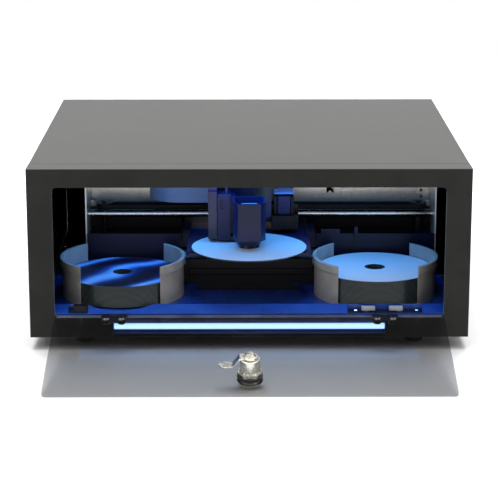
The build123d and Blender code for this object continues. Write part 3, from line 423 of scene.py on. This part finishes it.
def glowing(name, colour, strength):
    """Opal acrylic lit from inside: nearly white towards the eye, a deeper blue round its sides."""
    material, tree, shader, place = new_material(name)
    vary(tree, shader, grain(tree, place, 8), "#e6f6ff", "#f4fbff")
    facing = add(tree, "ShaderNodeLayerWeight", {"Blend": 0.35}).outputs["Facing"]
    tones = {6: linear(colour), 7: linear("#2f7fe0")}
    glow = add(tree, "ShaderNodeMix", tones, {0: facing}, data_type="RGBA")
    tree.links.new(glow.outputs[2], shader.inputs["Emission Color"])
    shader.inputs["Emission Strength"].default_value = strength
    shader.inputs["Roughness"].default_value = 0.25
    return material


def ribbon():
    """Extruded PVC ribbon cable: a grey strip ribbed by the rounded cores that lie side by side."""
    material, tree, shader, place = new_material("pvc_ribbon_cable")
    core_mm = 1.27
    cores = add(
        tree, "ShaderNodeTexWave", {"Scale": wave_scale(core_mm)}, {"Vector": place},
        bands_direction="Z",
    ).outputs["Fac"]
    vary(tree, shader, cores, "#65626f", "#8d8a98", 0.0, 0.6)
    bump(tree, shader, cores, 0.5, 0.3)
    shader.inputs["Roughness"].default_value = 0.4
    return material


def board_laminate():
    """Glass-epoxy laminate under green solder resist: dark and satin, with a hint of its tracks."""
    material, tree, shader, place = new_material("circuit_board_resist")
    track_mm = 9
    levels = {"Color1": (0, 0, 0, 1), "Color2": (0.4, 0.4, 0.4, 1), "Mortar": (1, 1, 1, 1)}
    tracks = add(
        tree, "ShaderNodeTexBrick", {"Scale": 1 / (track_mm * MM), **levels}, {"Vector": place}
    )
    vary(tree, shader, tracks.outputs["Color"], "#08281c", "#104436", 0.0, 1.0)
    rough_between(tree, shader, grain(tree, place, 3), 0.25, 0.4)
    return material


finishes = {}


def prepare_finishes(sizes):
    """Makes every finish once. Where a piece is lit blue, its colour holds some of that light."""
    finishes.update(
        coat=powder_coat(sizes.coat_colour, sizes.coat_light),
        # Freshly plated sheet on the printer's own plates: the palest metal in the compartment.
        zinc=zinc_plate("zinc_plated_sheet", "#dad6cc", "#ece8de"),
        # The same plate after years on the outside: grey, with little sparkle left.
        zinc_dull=zinc_plate("zinc_dull_sheet", "#7c7d7f", "#8e8f91"),
        nickel=nickel_plate(),
        acrylic=smoked_acrylic(),
        # The door's sawn and polished edge: paler than its faces, from light led along the sheet.
        edge=moulded("acrylic_cut_edge", "#70768c", "#8a90a4", (0.2, 0.3)),
        # Black ABS, moulded: keeps only a soft sheen on its edges.
        black=moulded("abs_black", "#060608", "#0a0a0d", glint=0.25),
        # Painted shade: near-black on the cabinet's inner faces, the rear panel's inner face and the
        # base's front, where the inside lies in shade; gives back next to no light.
        dark=moulded("painted_shade_black", "#050505", "#080808", (0.7, 0.8), glint=0.1),
        # Blackened steel screw heads: dark, with one sharp glint each.
        screw=moulded("steel_blackened", "#0a0b12", "#161822", (0.12, 0.25), glint=1.0),
        bins=bin_polypropylene(),
        # Dark ABS, moulded, on the picker and the cartridge: satin under the blue lamp, with painted blue
        # light in its blue-black colour.
        navy=moulded("abs_dark_painted_blue_light", "#0e1430", "#151c40", (0.28, 0.42)),
        # ABS, moulded, behind the tube in the lower band: the tube's glow is painted into its blue
        # colour.
        channel=moulded("abs_channel_painted_glow", "#0a1c4c", "#0d2258", (0.25, 0.4)),
        # Near-black ABS, moulded, on the lower panel and the rails: sinks behind the tray; its blue cast
        # is painted blue light.
        panel=moulded("abs_panel_black_painted_blue", "#070918", "#0b0e24", (0.28, 0.42), glint=0.3),
        # Polycarbonate, moulded, on the latch and in the head: the brightest plastic; its pale blue holds
        # painted blue light.
        navy_pale=moulded("polycarbonate_painted_blue_light", "#3f7fd0", "#5a97e0", (0.2, 0.3)),
        # Slate ABS, moulded, on the tray and the head: a shade bluer and softer than the rest, with
        # painted blue light in its colour.
        slate=moulded("abs_slate_painted_blue", "#11173a", "#181f48", (0.3, 0.45), glint=0.3),
        # The compartment's floor plate, glossy enough to mirror the bins: its blue is painted light from
        # the hidden tube.
        floor=moulded("floor_painted_blue_light", "#0f3384", "#143c90", (0.2, 0.32)),
        # Silver-grey ABS, moulded, on the two buttons: stands out from the black strip.
        button=moulded("abs_silver_grey", "#8d9196", "#a0a4a9", (0.25, 0.4)),
        # Black rubber, moulded, on feet, belt and rollers: matt and a little grey.
        rubber=moulded("rubber_black", "#0d0d0d", "#171717", (0.6, 0.8), 0.8, 0.3),
        edges=disc_edges(),
        ribbon=ribbon(),
        board=board_laminate(),
        band_light=glowing(
            "opal_tube_cyan", sizes.band_light_colour, sizes.band_light_strength
        ),
        upper_light=glowing(
            "opal_tube_blue", sizes.upper_light_colour, sizes.upper_light_strength
        ),
        # Clear moulded lenses over light-emitting diodes: small hot points on the strip.
        led_blue=glowing("lens_blue", "#3f9bff", 4.0),
        led_white=glowing("lens_white", "#bfe4ff", 5.0),
    )


# Settings


class FinishSettings(bpy.types.PropertyGroup):
    """Colours of the coat and of the two light tubes"""

    coat_colour: StringProperty(
        name="Coat", description="Darker tone of the cabinet's powder coat", default="#1f1f1d"
    )
    coat_light: StringProperty(
        name="Coat, light", description="Lighter tone of the cabinet's powder coat", default="#252522"
    )
    band_light_colour: StringProperty(
        name="Band light", description="Colour of the light tube in the lower band", default="#b4e0ff"
    )
    band_light_strength: FloatProperty(
        name="Band light strength", description="Emission of the lower band's tube", default=2.6, min=0
    )
    upper_light_colour: StringProperty(
        name="Upper light", description="Colour of the hidden tube over the compartment",
        default="#4a9dff",
    )
    upper_light_strength: FloatProperty(
        name="Upper light strength", description="Emission of the hidden tube", default=2.6, min=0
    )


class DiscSettings(bpy.types.PropertyGroup):
    """Sizes of a disc and how many each bin holds"""

    radius: FloatProperty(
        name="Disc radius", description="Outer radius of a disc", default=0.060,
        unit="LENGTH", subtype="DISTANCE",
    )
    hole: FloatProperty(
        name="Hole radius", description="Radius of a disc's hole", default=0.0075,
        unit="LENGTH", subtype="DISTANCE",
    )
    thickness: FloatProperty(
        name="Thickness", description="Thickness of a disc", default=0.0012,
        unit="LENGTH", subtype="DISTANCE",
    )
    left_count: IntProperty(
        name="Left stack", description="Discs in the left bin", default=18, min=1
    )
    right_count: IntProperty(
        name="Right stack", description="Discs in the right bin", default=22, min=1
    )


class StageSettings(bpy.types.PropertyGroup):
    """The camera's place and aim, and the floor's colour"""

    camera_x: FloatProperty(
        name="Camera across", description="Camera place across", default=-0.0087, unit="LENGTH"
    )
    camera_y: FloatProperty(
        name="Camera back", description="Camera place in front of the fascia", default=1.7551,
        unit="LENGTH",
    )
    camera_z: FloatProperty(
        name="Camera height", description="Camera height", default=0.5544, unit="LENGTH"
    )
    pitch: FloatProperty(
        name="Pitch", description="Angle below the horizon", default=math.radians(14.43),
        subtype="ANGLE",
    )
    yaw: FloatProperty(
        name="Yaw", description="Angle to the right", default=math.radians(0.304), subtype="ANGLE"
    )
    lens: FloatProperty(name="Lens", description="Focal length in millimetres", default=132.67)
    floor_colour: StringProperty(name="Floor", description="Colour of the floor", default="#f4f4f4")


# Operators, one for each piece or group of like pieces


class CabinetOperator(bpy.types.Operator):
    """Front fascia, top cover, rear panel, base, feet and screws"""

    bl_idname = "disc_printer.cabinet"
    bl_label = "Cabinet"

    def execute(self, context):
        front_sheet_back = FRONT + 2 * MM
        base_shade_to = FRONT + 30 * MM

        def in_shade(c, n):
            """Faces behind the front sheet that look down or towards the middle, which get painted shade.
            """
            towards_middle = n.x * c.x < -FACING * abs(c.x)
            return c.y > front_sheet_back and (n.z < -FACING or towards_middle)

        fascia = eased_copy("front_fascia", finishes["coat"], 0.35, 3)
        # Painted shade: the inner faces of fascia and cover, the rear panel's inner face and the base's
        # front go near-black.
        paint(fascia, finishes["dark"], in_shade)
        cover = eased_copy("top_cover", finishes["coat"], 0.25, 2)
        paint(cover, finishes["dark"], in_shade)
        rear = eased_copy("rear_panel", finishes["zinc_dull"], 0.2)
        paint(rear, finishes["dark"], lambda c, n: n.y < -FACING)
        base = coat_node("base_chassis", finishes["zinc_dull"])
        paint(base, finishes["dark"], lambda c, n: c.y < base_shade_to)
        eased_copy("feet", finishes["rubber"], 0.8, 3)
        eased_copy("cover_screws", finishes["nickel"], 0.4)
        return {"FINISHED"}


class DoorOperator(bpy.types.Operator):
    """Smoked door, hinge leaves, brackets and their screws"""

    bl_idname = "disc_printer.door"
    bl_label = "Door and hinges"

    def execute(self, context):
        door = eased_copy("door_panel", finishes["acrylic"], 0.3, 2)
        hinge_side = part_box("door_panel")[1].y - 3 * MM

        def cut_edge(c, n):
            """The door's edge along the hinges, which looks back."""
            return c.y > hinge_side and n.y > 0.8 and abs(n.z) < 0.45

        paint(door, finishes["edge"], cut_edge)
        eased_copy("hinge_leaves", finishes["black"], 0.15)
        eased_copy("hinge_brackets", finishes["black"], 0.15)
        eased_copy("hinge_screws", finishes["screw"], 0.2)
        return {"FINISHED"}


class LockOperator(bpy.types.Operator):
    """Cam lock: barrel, gasket, nut and cam"""

    bl_idname = "disc_printer.lock"
    bl_label = "Cam lock"

    def execute(self, context):
        eased_copy("lock_barrel", finishes["nickel"], 0.4, 3)
        eased_copy("lock_gasket", finishes["rubber"], 0.3)
        eased_copy("lock_nut", finishes["nickel"], 0.5, 3)
        eased_copy("lock_cam", finishes["nickel"], 0.25, 2)
        return {"FINISHED"}


class BinsOperator(bpy.types.Operator):
    """The two round disc bins"""

    bl_idname = "disc_printer.bins"
    bl_label = "Disc bins"

    def execute(self, context):
        for side in ("left", "right"):
            eased_copy(side + "_bin", finishes["bins"], 0.45, 3)
        return {"FINISHED"}


def disc_profile(sizes):
    """Half section of a disc: rounded rim, a stacking ring near the hub, and the hole."""
    radius, hole, thickness = sizes.radius, sizes.hole, sizes.thickness
    chamfer, side = 0.15 * MM, 0.2 * MM
    rim_flat, rim_shoulder, rim_middle = 0.4 * MM, 0.12 * MM, 0.5 * MM
    ring, ring_half, ring_foot = 17.5 * MM, 0.6 * MM, 1.2 * MM
    face = thickness - 0.02 * MM
    crest = thickness + 0.1 * MM
    return [
        (hole, side), (hole + chamfer, 0),
        (radius - rim_flat, 0), (radius - rim_shoulder, side), (radius, rim_middle),
        (radius - rim_shoulder, thickness - side), (radius - rim_flat, face),
        (ring + ring_foot, face), (ring + ring_half, crest), (ring, crest), (ring - ring_half, face),
        (hole + chamfer, face), (hole, thickness - side),
    ]


class DiscsOperator(bpy.types.Operator):
    """Stacked discs in both bins and the disc on the print tray"""

    bl_idname = "disc_printer.discs"
    bl_label = "Discs"

    def execute(self, context):
        sizes = context.scene.disc_printer_discs
        self.stack("left", sizes.left_count, sizes)
        self.stack("right", sizes.right_count, sizes)
        low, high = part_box("tray_disc")
        centre = (low + high) / 2
        foot = (centre.x, centre.y, low.z)
        disc = turned("tray_disc_blank", disc_profile(sizes), foot, 128)
        blank = printable_disc(centre)[0]
        finish(disc, body_holding("tray_disc"), blank, ["tray_disc"])
        paint(disc, finishes["edges"], lambda c, n: abs(n.z) < FACING)
        return {"FINISHED"}

    def stack(self, side, count, sizes):
        """A bin's discs as one pile, with its top disc as a piece of its own."""
        node = side + "_disc_stack"
        low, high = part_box(node)
        centre = (low + high) / 2
        pitch = sizes.thickness
        first = turned(side + "_disc", disc_profile(sizes), (centre.x, centre.y, low.z), 96)
        others = [
            copy_of(first, side + "_disc_copy", (0, 0, i * pitch)) for i in range(1, count - 1)
        ]
        top = copy_of(first, side + "_top_disc", (0, 0, (count - 1) * pitch))
        pile = joined([first, *others], side + "_discs")
        finish(pile, body_holding(node), finishes["edges"], [node])
        if side == "left":
            face = printed_disc(centre)
        else:
            face = printable_disc(centre, "inkjet_disc_face_stack")[0]
        finish(top, body_holding(node), face)
        paint(top, finishes["edges"], lambda c, n: abs(n.z) < FACING)


class TrayOperator(bpy.types.Operator):
    """Print tray, its rails and roller"""

    bl_idname = "disc_printer.tray"
    bl_label = "Print tray"

    def execute(self, context):
        eased_copy("print_tray", finishes["slate"], 0.4, 2)
        eased_copy("tray_rails", finishes["panel"], 0.3)
        eased_copy("tray_roller", finishes["rubber"], 0.3)
        return {"FINISHED"}


class PickerOperator(bpy.types.Operator):
    """Picker: bracket, lifting head, gripper"""

    bl_idname = "disc_printer.picker"
    bl_label = "Picker"

    def execute(self, context):
        bracket = eased_copy("picker_bracket", finishes["navy"], 0.4, 2)
        board_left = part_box("picker_bracket")[0].x + 47.5 * MM
        board_right = board_left + 17 * MM
        board_front = FRONT + 148 * MM
        board_back = FRONT + 150.05 * MM
        board_bottom = 117.5 * MM

        def on_board(c, n):
            """The small circuit board on the bracket."""
            across = board_left < c.x < board_right
            return across and board_front < c.y < board_back and c.z > board_bottom

        paint(bracket, finishes["board"], on_board)
        head = eased_copy("picker_head", finishes["slate"], 0.5, 3)
        low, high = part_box("picker_head")
        nose_top = low.z + 2.4 * MM
        paint(head, finishes["nickel"], lambda c, n: c.z < nose_top)
        well_bottom = high.z - 18 * MM
        well_front = low.y + 11 * MM
        well_back = well_front + 6 * MM
        well_middle, well_half = 1 * MM, 9.4 * MM

        def in_well(c, n):
            """The faces in the head's open well that don't look sideways."""
            across = abs(c.x - well_middle) < well_half and abs(n.x) < 0.5
            return across and well_front < c.y < well_back and c.z > well_bottom

        paint(head, finishes["navy_pale"], in_well)
        eased_copy("gripper_jaw", finishes["nickel"], 0.2)
        return {"FINISHED"}


class CarriageOperator(bpy.types.Operator):
    """Print carriage, cartridge, latch, belt, pulleys and motor"""

    bl_idname = "disc_printer.carriage"
    bl_label = "Print carriage"

    def execute(self, context):
        eased_copy("print_carriage", finishes["black"], 0.4)
        cartridge = eased_copy("cartridge", finishes["navy"], 0.5, 3)
        paint(cartridge, finishes["slate"], lambda c, n: n.y < -FACING)
        eased_copy("cartridge_latch", finishes["navy_pale"], 0.3)
        eased_copy("carriage_belt", finishes["rubber"], 0.15)
        eased_copy("drive_pulley", finishes["black"], 0.3)
        eased_copy("idler_pulley", finishes["black"], 0.3)
        eased_copy("belt_motor", finishes["black"], 0.3)
        return {"FINISHED"}


class PrinterFrameOperator(bpy.types.Operator):
    """Printer frame: plates, shroud, deck, lower panel, rod and ribbon cable"""

    bl_idname = "disc_printer.printer_frame"
    bl_label = "Printer frame"

    def execute(self, context):
        eased_copy("frame_side_plates", finishes["zinc"], 0.2)
        eased_copy("frame_back_plate", finishes["zinc"], 0.2)
        eased_copy("carriage_shroud", finishes["black"], 0.2)
        eased_copy("frame_deck", finishes["black"], 0.2)
        eased_copy("lower_panel", finishes["panel"], 0.3)
        eased_copy("guide_rod", finishes["nickel"], 0.4)
        eased_copy("ribbon_cable", finishes["ribbon"], 0.1)
        return {"FINISHED"}


class FloorOperator(bpy.types.Operator):
    """Compartment floor, control strip, buttons and door sensor"""

    bl_idname = "disc_printer.floor"
    bl_label = "Floor and controls"

    def execute(self, context):
        eased_copy("inner_floor", finishes["floor"], 0.3)
        strip = eased_copy("control_strip", finishes["black"], 0.15)
        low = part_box("control_strip")[0]
        left_lens, right_lens = low.x + 8 * MM, low.x + 68.7 * MM
        lens_half = 1.6 * MM
        lens_bottom = low.z + 1.0 * MM

        def on_lens(middle):
            """A test for the faces of the lens whose middle is given."""
            return lambda c, n: abs(c.x - middle) < lens_half and c.z > lens_bottom

        paint(strip, finishes["led_white"], on_lens(left_lens))
        paint(strip, finishes["led_blue"], on_lens(right_lens))
        eased_copy("left_button", finishes["button"], 0.3)
        eased_copy("right_button", finishes["button"], 0.3)
        eased_copy("button_board", finishes["board"], 0.1)
        eased_copy("door_sensor", finishes["black"], 0.4)
        return {"FINISHED"}


class LightsOperator(bpy.types.Operator):
    """Light tubes and their channels"""

    bl_idname = "disc_printer.lights"
    bl_label = "Lights"

    def execute(self, context):
        eased_copy("light_tube", finishes["band_light"], 0.6)
        eased_copy("light_channel", finishes["channel"], 0.3)
        eased_copy("upper_light", finishes["upper_light"], 0.6)
        eased_copy("upper_light_holder", finishes["zinc"], 0.2)
        return {"FINISHED"}


class DriveOperator(bpy.types.Operator):
    """Optical drive, its tray and eject button"""

    bl_idname = "disc_printer.drive"
    bl_label = "Optical drive"

    def execute(self, context):
        drive = eased_copy("optical_drive", finishes["black"], 0.3)
        bezel_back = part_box("drive_tray")[0].y + 6.2 * MM
        paint(drive, finishes["zinc"], lambda c, n: c.y > bezel_back)
        eased_copy("drive_tray", finishes["black"], 0.4)
        eased_copy("eject_button", finishes["slate"], 0.3)
        return {"FINISHED"}


class RearOperator(bpy.types.Operator):
    """Fan, power inlet, switch, power supply and main board"""

    bl_idname = "disc_printer.rear"
    bl_label = "Rear pieces"

    def execute(self, context):
        for node in ("fan_housing", "fan_rotor", "power_inlet", "rocker_housing", "rocker_button"):
            eased_copy(node, finishes["black"], 0.3)
        eased_copy("fan_guard", finishes["black"], 0.25)
        eased_copy("power_supply", finishes["zinc"], 0.3)
        board = eased_copy("main_board", finishes["board"], 0.15)
        laminate_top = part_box("main_board")[0].z + 9.7 * MM
        paint(board, finishes["black"], lambda c, n: c.z > laminate_top)
        return {"FINISHED"}


# Square lamps: name, place and side in metres, and power in watts.
LAMPS = (
    ("key_lamp", (-0.9, -1.6, 1.9), 1.6, 18),
    ("fill_lamp", (1.4, -1.2, 1.3), 1.4, 9),
    ("top_lamp", (0.0, 0.3, 2.2), 2.0, 82),
)
LAMP_AIM = (0, 0, 0.08)
# The hidden tube's lamp: its drop below the tube, width, power in watts and colour.
TUBE_DROP = 2 * MM
TUBE_WIDTH = 12 * MM
TUBE_POWER = 0.42
TUBE_COLOUR = "#4ca6ff"
# The floor's side, and the radii between which it turns to the background's white.
GROUND_SIDE = 3.2
WHITE_FROM = 0.42
WHITE_TO = 0.75
WHITE_LIFT = 0.35
# The world's strength where it only gives light, and where it is looked at.
SKY_LIGHT = 0.3
SKY_SEEN = 1.0
SENSOR_WIDTH = 36
NEAREST_SEEN = 0.01


class StageOperator(bpy.types.Operator):
    """Floor, lamps, world and camera"""

    bl_idname = "disc_printer.stage"
    bl_label = "Stage"

    def execute(self, context):
        sizes = context.scene.disc_printer_stage
        self.floor(sizes)
        self.world()
        for name, place, side, power in LAMPS:
            self.lamp(name, place, side, power)
        self.tube_lamp()
        self.camera(sizes)
        context.scene.view_settings.view_transform = "Standard"
        return {"FINISHED"}

    def floor(self, sizes):
        """Pale painted table: even and softly shaded near the object.

        Away from it, camera rays alone see it turn to white, so it adds no light.
        """
        deselect()
        bpy.ops.mesh.primitive_plane_add(size=GROUND_SIDE, location=(0, 0, 0))
        ground = bpy.context.active_object
        ground.name = "stage_floor"
        material, tree, shader, place = new_material("pale_table")
        vary(tree, shader, grain(tree, place, 400), sizes.floor_colour, "#f8f8f8")
        shader.inputs["Roughness"].default_value = 0.5
        path = add(tree, "ShaderNodeLightPath")
        away = add(tree, "ShaderNodeVectorMath", links={0: place}, operation="LENGTH")
        rise = add(
            tree, "ShaderNodeMapRange",
            {"From Min": WHITE_FROM, "From Max": WHITE_TO, "To Max": WHITE_LIFT},
            {"Value": away.outputs["Value"]},
        )
        seen = add(
            tree, "ShaderNodeMath", links={0: path.outputs["Is Camera Ray"], 1: rise.outputs[0]},
            operation="MULTIPLY",
        )
        shader.inputs["Emission Color"].default_value = (1, 1, 1, 1)
        tree.links.new(seen.outputs[0], shader.inputs["Emission Strength"])
        ground.data.materials.append(material)

    def world(self):
        """White where the camera, a mirror or clear plastic looks at it, and dim as a light."""
        world = bpy.data.worlds.new("studio")
        bpy.context.scene.world = world
        world.use_nodes = True
        tree = world.node_tree
        tree.nodes.clear()
        path = add(tree, "ShaderNodeLightPath")
        seen = path.outputs["Is Camera Ray"]
        for ray in ("Is Glossy Ray", "Is Transmission Ray"):
            seen = add(
                tree, "ShaderNodeMath", links={0: seen, 1: path.outputs[ray]}, operation="MAXIMUM"
            ).outputs[0]
        level = add(
            tree, "ShaderNodeMapRange", {"To Min": SKY_LIGHT, "To Max": SKY_SEEN}, {"Value": seen}
        ).outputs[0]
        sky = add(tree, "ShaderNodeBackground", {"Color": (1, 1, 1, 1)}, {"Strength": level})
        add(tree, "ShaderNodeOutputWorld", links={"Surface": sky.outputs[0]})

    def lamp(self, name, place, side, power):
        """A soft square lamp that looks at the object's middle."""
        deselect()
        bpy.ops.object.light_add(type="AREA", location=place)
        lamp = bpy.context.active_object
        lamp.name = name
        lamp.data.shape = "SQUARE"
        lamp.data.size = side
        lamp.data.energy = power
        aim = Vector(LAMP_AIM) - Vector(place)
        lamp.rotation_euler = aim.to_track_quat("-Z", "Y").to_euler()

    def tube_lamp(self):
        """The hidden tube's light on the compartment, cast from just under it."""
        low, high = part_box("upper_light")
        middle = (low + high) / 2
        deselect()
        place = (middle.x, middle.y, low.z - TUBE_DROP)
        bpy.ops.object.light_add(type="AREA", location=place)
        lamp = bpy.context.active_object
        lamp.name = "tube_lamp"
        lamp.data.shape = "RECTANGLE"
        lamp.data.size = high.x - low.x
        lamp.data.size_y = TUBE_WIDTH
        lamp.data.energy = TUBE_POWER
        lamp.data.color = linear(TUBE_COLOUR)[:3]
        lamp.visible_glossy = False

    def camera(self, sizes):
        """The camera where the photographer stood, as fitted to the cabinet's corners."""
        deselect()
        place = (sizes.camera_x, FRONT - sizes.camera_y, sizes.camera_z)
        bpy.ops.object.camera_add(location=place)
        camera = bpy.context.active_object
        camera.rotation_euler = (math.pi / 2 - sizes.pitch, 0, -sizes.yaw)
        camera.data.lens = sizes.lens
        camera.data.sensor_width = SENSOR_WIDTH
        camera.data.clip_start = NEAREST_SEEN
        bpy.context.scene.camera = camera


OPERATORS = (
    StageOperator, CabinetOperator, DoorOperator, LockOperator, BinsOperator, DiscsOperator,
    TrayOperator, PickerOperator, CarriageOperator, PrinterFrameOperator, FloorOperator,
    LightsOperator, DriveOperator, RearOperator,
)


class DiscPrinterPanel(bpy.types.Panel):
    """Lists the settings and the operators in the sidebar"""

    bl_idname = "VIEW3D_PT_disc_printer"
    bl_label = "Disc label printer"
    bl_space_type = "VIEW_3D"
    bl_region_type = "UI"
    bl_category = "Disc Printer"

    def draw(self, context):
        column = self.layout.column()
        for settings in ("disc_printer_finish", "disc_printer_discs", "disc_printer_stage"):
            group = getattr(context.scene, settings)
            for name in group.__annotations__:
                column.prop(group, name)
        for operator in OPERATORS:
            column.operator(operator.bl_idname)


SETTINGS = (FinishSettings, DiscSettings, StageSettings)


def register():
    for item in (*SETTINGS, *OPERATORS, DiscPrinterPanel):
        bpy.utils.register_class(item)
    bpy.types.Scene.disc_printer_finish = PointerProperty(type=FinishSettings)
    bpy.types.Scene.disc_printer_discs = PointerProperty(type=DiscSettings)
    bpy.types.Scene.disc_printer_stage = PointerProperty(type=StageSettings)


def unregister():
    del bpy.types.Scene.disc_printer_stage
    del bpy.types.Scene.disc_printer_discs
    del bpy.types.Scene.disc_printer_finish
    for item in (DiscPrinterPanel, *reversed(OPERATORS), *reversed(SETTINGS)):
        bpy.utils.unregister_class(item)


def main():
    """Builds everything on the frame."""
    register()
    prepare_finishes(bpy.context.scene.disc_printer_finish)
    for operator in OPERATORS:
        group, name = operator.bl_idname.split(".")
        getattr(getattr(bpy.ops, group), name)()


if __name__ == "__main__":
    main()
